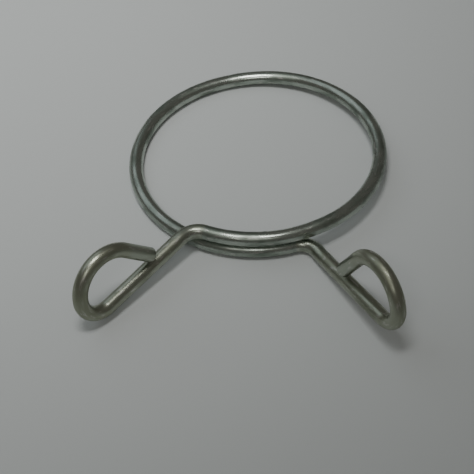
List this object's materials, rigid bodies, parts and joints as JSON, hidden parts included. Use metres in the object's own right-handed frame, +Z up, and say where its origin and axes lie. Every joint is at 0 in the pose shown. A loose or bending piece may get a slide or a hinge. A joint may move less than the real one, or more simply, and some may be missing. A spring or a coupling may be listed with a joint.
{
  "type": "wire hose clamp",
  "caption": "Round spring-wire hose clamp: one turn whose ends cross at the front and rise into two finger loops, squeezed together to open it.",
  "frame": {"origin": "on the ring's axis, in the plane that the clamp lies on", "axes": "+Z up along the ring's axis and the hose; the two ears are at the front, -Y; the upper end's ear is towards -X"},
  "size_m": [0.0645, 0.08, 0.0174],
  "materials": {
    "plated_wire": "bright zinc plating on drawn spring wire, lightly scuffed"
  },
  "bodies": {
    "back": {"ring_back": "plated_wire"},
    "back_right": {"ring_back_right": "plated_wire"},
    "right_rear": {"ring_right_rear": "plated_wire"},
    "right_front": {"ring_right_front": "plated_wire"},
    "front_right": {"ring_front_right": "plated_wire"},
    "upper_end": {"ring_front_upper": "plated_wire", "left_shoulder": "plated_wire", "left_arm": "plated_wire", "left_ear_outer_bend": "plated_wire", "left_ear_crown": "plated_wire", "left_ear_leg": "plated_wire"},
    "back_left": {"ring_back_left": "plated_wire"},
    "left_rear": {"ring_left_rear": "plated_wire"},
    "left_front": {"ring_left_front": "plated_wire"},
    "front_left": {"ring_front_left": "plated_wire"},
    "lower_end": {"ring_front_lower": "plated_wire", "right_shoulder": "plated_wire", "right_arm": "plated_wire", "right_ear_outer_bend": "plated_wire", "right_ear_crown": "plated_wire", "right_ear_leg": "plated_wire"}
  },
  "joints": [
    {"name": "flex_back_right", "type": "hinge", "parent": "back", "child": "back_right", "pos_m": [0.00803, 0.02473, 0.00206], "axis": [0, 0, 1], "range_deg": [0, 5], "stiffness_Nm_per_rad": 50},
    {"name": "flex_right_rear", "type": "hinge", "parent": "back_right", "child": "right_rear", "pos_m": [0.02103, 0.01528, 0.00278], "axis": [0, 0, 1], "range_deg": [0, 4.27], "stiffness_Nm_per_rad": 50},
    {"name": "flex_right_front", "type": "hinge", "parent": "right_rear", "child": "right_front", "pos_m": [0.026, 0, 0.0035], "axis": [0, 0, 1], "range_deg": [0, 3.09], "stiffness_Nm_per_rad": 50},
    {"name": "flex_front_right", "type": "hinge", "parent": "right_front", "child": "front_right", "pos_m": [0.02103, -0.01528, 0.00422], "axis": [0, 0, 1], "range_deg": [0, 1.91], "stiffness_Nm_per_rad": 50},
    {"name": "flex_upper_end", "type": "hinge", "parent": "front_right", "child": "upper_end", "pos_m": [0.00803, -0.02473, 0.0048], "axis": [0, 0, 1], "range_deg": [0, 1.18], "stiffness_Nm_per_rad": 50},
    {"name": "flex_back_left", "type": "hinge", "parent": "back", "child": "back_left", "pos_m": [-0.00803, 0.02473, 0.0015], "axis": [0, 0, -1], "range_deg": [0, 5], "stiffness_Nm_per_rad": 50},
    {"name": "flex_left_rear", "type": "hinge", "parent": "back_left", "child": "left_rear", "pos_m": [-0.02103, 0.01528, 0.0015], "axis": [0, 0, -1], "range_deg": [0, 4.27], "stiffness_Nm_per_rad": 50},
    {"name": "flex_left_front", "type": "hinge", "parent": "left_rear", "child": "left_front", "pos_m": [-0.026, 0, 0.0015], "axis": [0, 0, -1], "range_deg": [0, 3.09], "stiffness_Nm_per_rad": 50},
    {"name": "flex_front_left", "type": "hinge", "parent": "left_front", "child": "front_left", "pos_m": [-0.02103, -0.01528, 0.0015], "axis": [0, 0, -1], "range_deg": [0, 1.91], "stiffness_Nm_per_rad": 50},
    {"name": "flex_lower_end", "type": "hinge", "parent": "front_left", "child": "lower_end", "pos_m": [-0.00803, -0.02473, 0.0015], "axis": [0, 0, -1], "range_deg": [0, 1.18], "stiffness_Nm_per_rad": 50}
  ]
}
